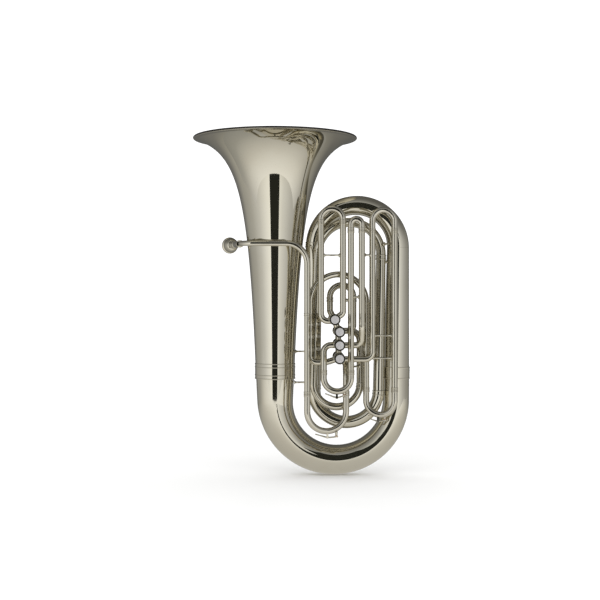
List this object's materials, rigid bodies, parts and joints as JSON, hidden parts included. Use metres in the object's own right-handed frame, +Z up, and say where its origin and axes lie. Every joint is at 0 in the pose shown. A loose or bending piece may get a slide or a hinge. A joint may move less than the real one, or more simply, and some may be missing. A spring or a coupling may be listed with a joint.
{
  "type": "tuba",
  "caption": "Upright front-action tuba with a flared bell, conical branches, piston valves, pull-out tuning slides, water keys and a removable mouthpiece.",
  "frame": {"origin": "under the middle of the instrument's box, level with the lowest point of the bottom bow", "axes": "+Z up along the bell's axis towards its mouth, -Y the way the finger buttons point, +Y towards the player, +X from the bell towards the outer right leg"},
  "size_m": [0.6169, 0.4658, 0.96],
  "materials": {
    "silver_plate": "bright silver-plated brass, polished",
    "nickel": "polished nickel silver tubing",
    "monel": "fine satin piston alloy",
    "pearl": "mother-of-pearl disc"
  },
  "bodies": {
    "horn": {"bell": "silver_plate", "bell_ferrule": "silver_plate", "bottom_bow": "silver_plate", "bow_ferrule": "silver_plate", "outer_right_leg": "silver_plate", "outer_top_bow": "silver_plate", "outer_left_leg": "silver_plate", "middle_lower_bow": "silver_plate", "middle_right_leg": "silver_plate", "middle_top_bow": "silver_plate", "inner_bow": "silver_plate", "exit_pipe": "silver_plate", "leadpipe": "silver_plate", "mouthpiece_receiver": "silver_plate", "valve1_casing": "silver_plate", "valve1_top_cap": "silver_plate", "valve1_bottom_cap": "silver_plate", "valve2_casing": "silver_plate", "valve2_top_cap": "silver_plate", "valve2_bottom_cap": "silver_plate", "valve3_casing": "silver_plate", "valve3_top_cap": "silver_plate", "valve3_bottom_cap": "silver_plate", "valve4_casing": "silver_plate", "valve4_top_cap": "silver_plate", "valve4_bottom_cap": "silver_plate", "main_fixed_tube": "silver_plate", "first_left_tube": "silver_plate", "first_right_tube": "silver_plate", "second_left_tube": "silver_plate", "second_right_tube": "silver_plate", "third_left_tube": "silver_plate", "third_middle_tube": "silver_plate", "third_right_tube": "silver_plate", "fourth_right_tube": "silver_plate", "fourth_middle_tube": "silver_plate", "fourth_left_tube": "silver_plate"},
    "piston1": {"valve1_piston": "monel", "valve1_button": "silver_plate", "valve1_pearl": "pearl"},
    "piston2": {"valve2_piston": "monel", "valve2_button": "silver_plate", "valve2_pearl": "pearl"},
    "piston3": {"valve3_piston": "monel", "valve3_button": "silver_plate", "valve3_pearl": "pearl"},
    "piston4": {"valve4_piston": "monel", "valve4_button": "silver_plate", "valve4_pearl": "pearl"},
    "main_tuning_slide": {"main_tuning_slide": "nickel"},
    "first_slide": {"first_slide": "nickel"},
    "second_slide": {"second_slide": "nickel"},
    "third_upper_slide": {"third_upper_slide": "nickel"},
    "third_lower_slide": {"third_lower_slide": "nickel"},
    "fourth_upper_slide": {"fourth_upper_slide": "nickel"},
    "fourth_lower_slide": {"fourth_lower_slide": "nickel"},
    "main_water_key": {"main_water_key": "silver_plate"},
    "third_water_key": {"third_water_key": "silver_plate"},
    "fourth_water_key": {"fourth_water_key": "silver_plate"},
    "mouthpiece": {"mouthpiece": "silver_plate"}
  },
  "joints": [
    {"name": "valve1_press", "type": "slide", "parent": "horn", "child": "piston1", "axis": [0, 1, 0], "range_m": [0, 0.0175], "stiffness_N_per_m": 220, "springref_m": -0.02},
    {"name": "valve2_press", "type": "slide", "parent": "horn", "child": "piston2", "axis": [0, 1, 0], "range_m": [0, 0.0175], "stiffness_N_per_m": 220, "springref_m": -0.02},
    {"name": "valve3_press", "type": "slide", "parent": "horn", "child": "piston3", "axis": [0, 1, 0], "range_m": [0, 0.0175], "stiffness_N_per_m": 220, "springref_m": -0.02},
    {"name": "valve4_press", "type": "slide", "parent": "horn", "child": "piston4", "axis": [0, 1, 0], "range_m": [0, 0.0175], "stiffness_N_per_m": 220, "springref_m": -0.02},
    {"name": "main_tuning_slide_pull", "type": "slide", "parent": "horn", "child": "main_tuning_slide", "axis": [0, 0, -1], "range_m": [0, 0.03]},
    {"name": "first_slide_pull", "type": "slide", "parent": "horn", "child": "first_slide", "axis": [0, 0, 1], "range_m": [0, 0.05]},
    {"name": "second_slide_pull", "type": "slide", "parent": "horn", "child": "second_slide", "axis": [0, 0, 1], "range_m": [0, 0.011]},
    {"name": "third_upper_slide_pull", "type": "slide", "parent": "horn", "child": "third_upper_slide", "axis": [0, 0, 1], "range_m": [0, 0.05]},
    {"name": "third_lower_slide_pull", "type": "slide", "parent": "horn", "child": "third_lower_slide", "axis": [0, 0, -1], "range_m": [0, 0.035]},
    {"name": "fourth_upper_slide_pull", "type": "slide", "parent": "horn", "child": "fourth_upper_slide", "axis": [0, 0, 1], "range_m": [0, 0.05]},
    {"name": "fourth_lower_slide_pull", "type": "slide", "parent": "horn", "child": "fourth_lower_slide", "axis": [0, 0, -1], "range_m": [0, 0.035]},
    {"name": "main_water_key_pivot", "type": "hinge", "parent": "main_tuning_slide", "child": "main_water_key", "pos_m": [0.072, -0.072, 0.114], "axis": [0, 1, 0], "range_deg": [0, 8], "stiffness_Nm_per_rad": 0.12, "springref_deg": -28.65},
    {"name": "third_water_key_pivot", "type": "hinge", "parent": "third_lower_slide", "child": "third_water_key", "pos_m": [0.098, -0.082, 0.225], "axis": [0, 1, 0], "range_deg": [0, 8], "stiffness_Nm_per_rad": 0.12, "springref_deg": -28.65},
    {"name": "fourth_water_key_pivot", "type": "hinge", "parent": "fourth_lower_slide", "child": "fourth_water_key", "pos_m": [0.214, -0.054, 0.157], "axis": [0, 1, 0], "range_deg": [0, 8], "stiffness_Nm_per_rad": 0.12, "springref_deg": -28.65},
    {"name": "mouthpiece_pull", "type": "slide", "parent": "horn", "child": "mouthpiece", "axis": [-0.3, 0.9539, 0], "range_m": [0, 0.04]}
  ]
}
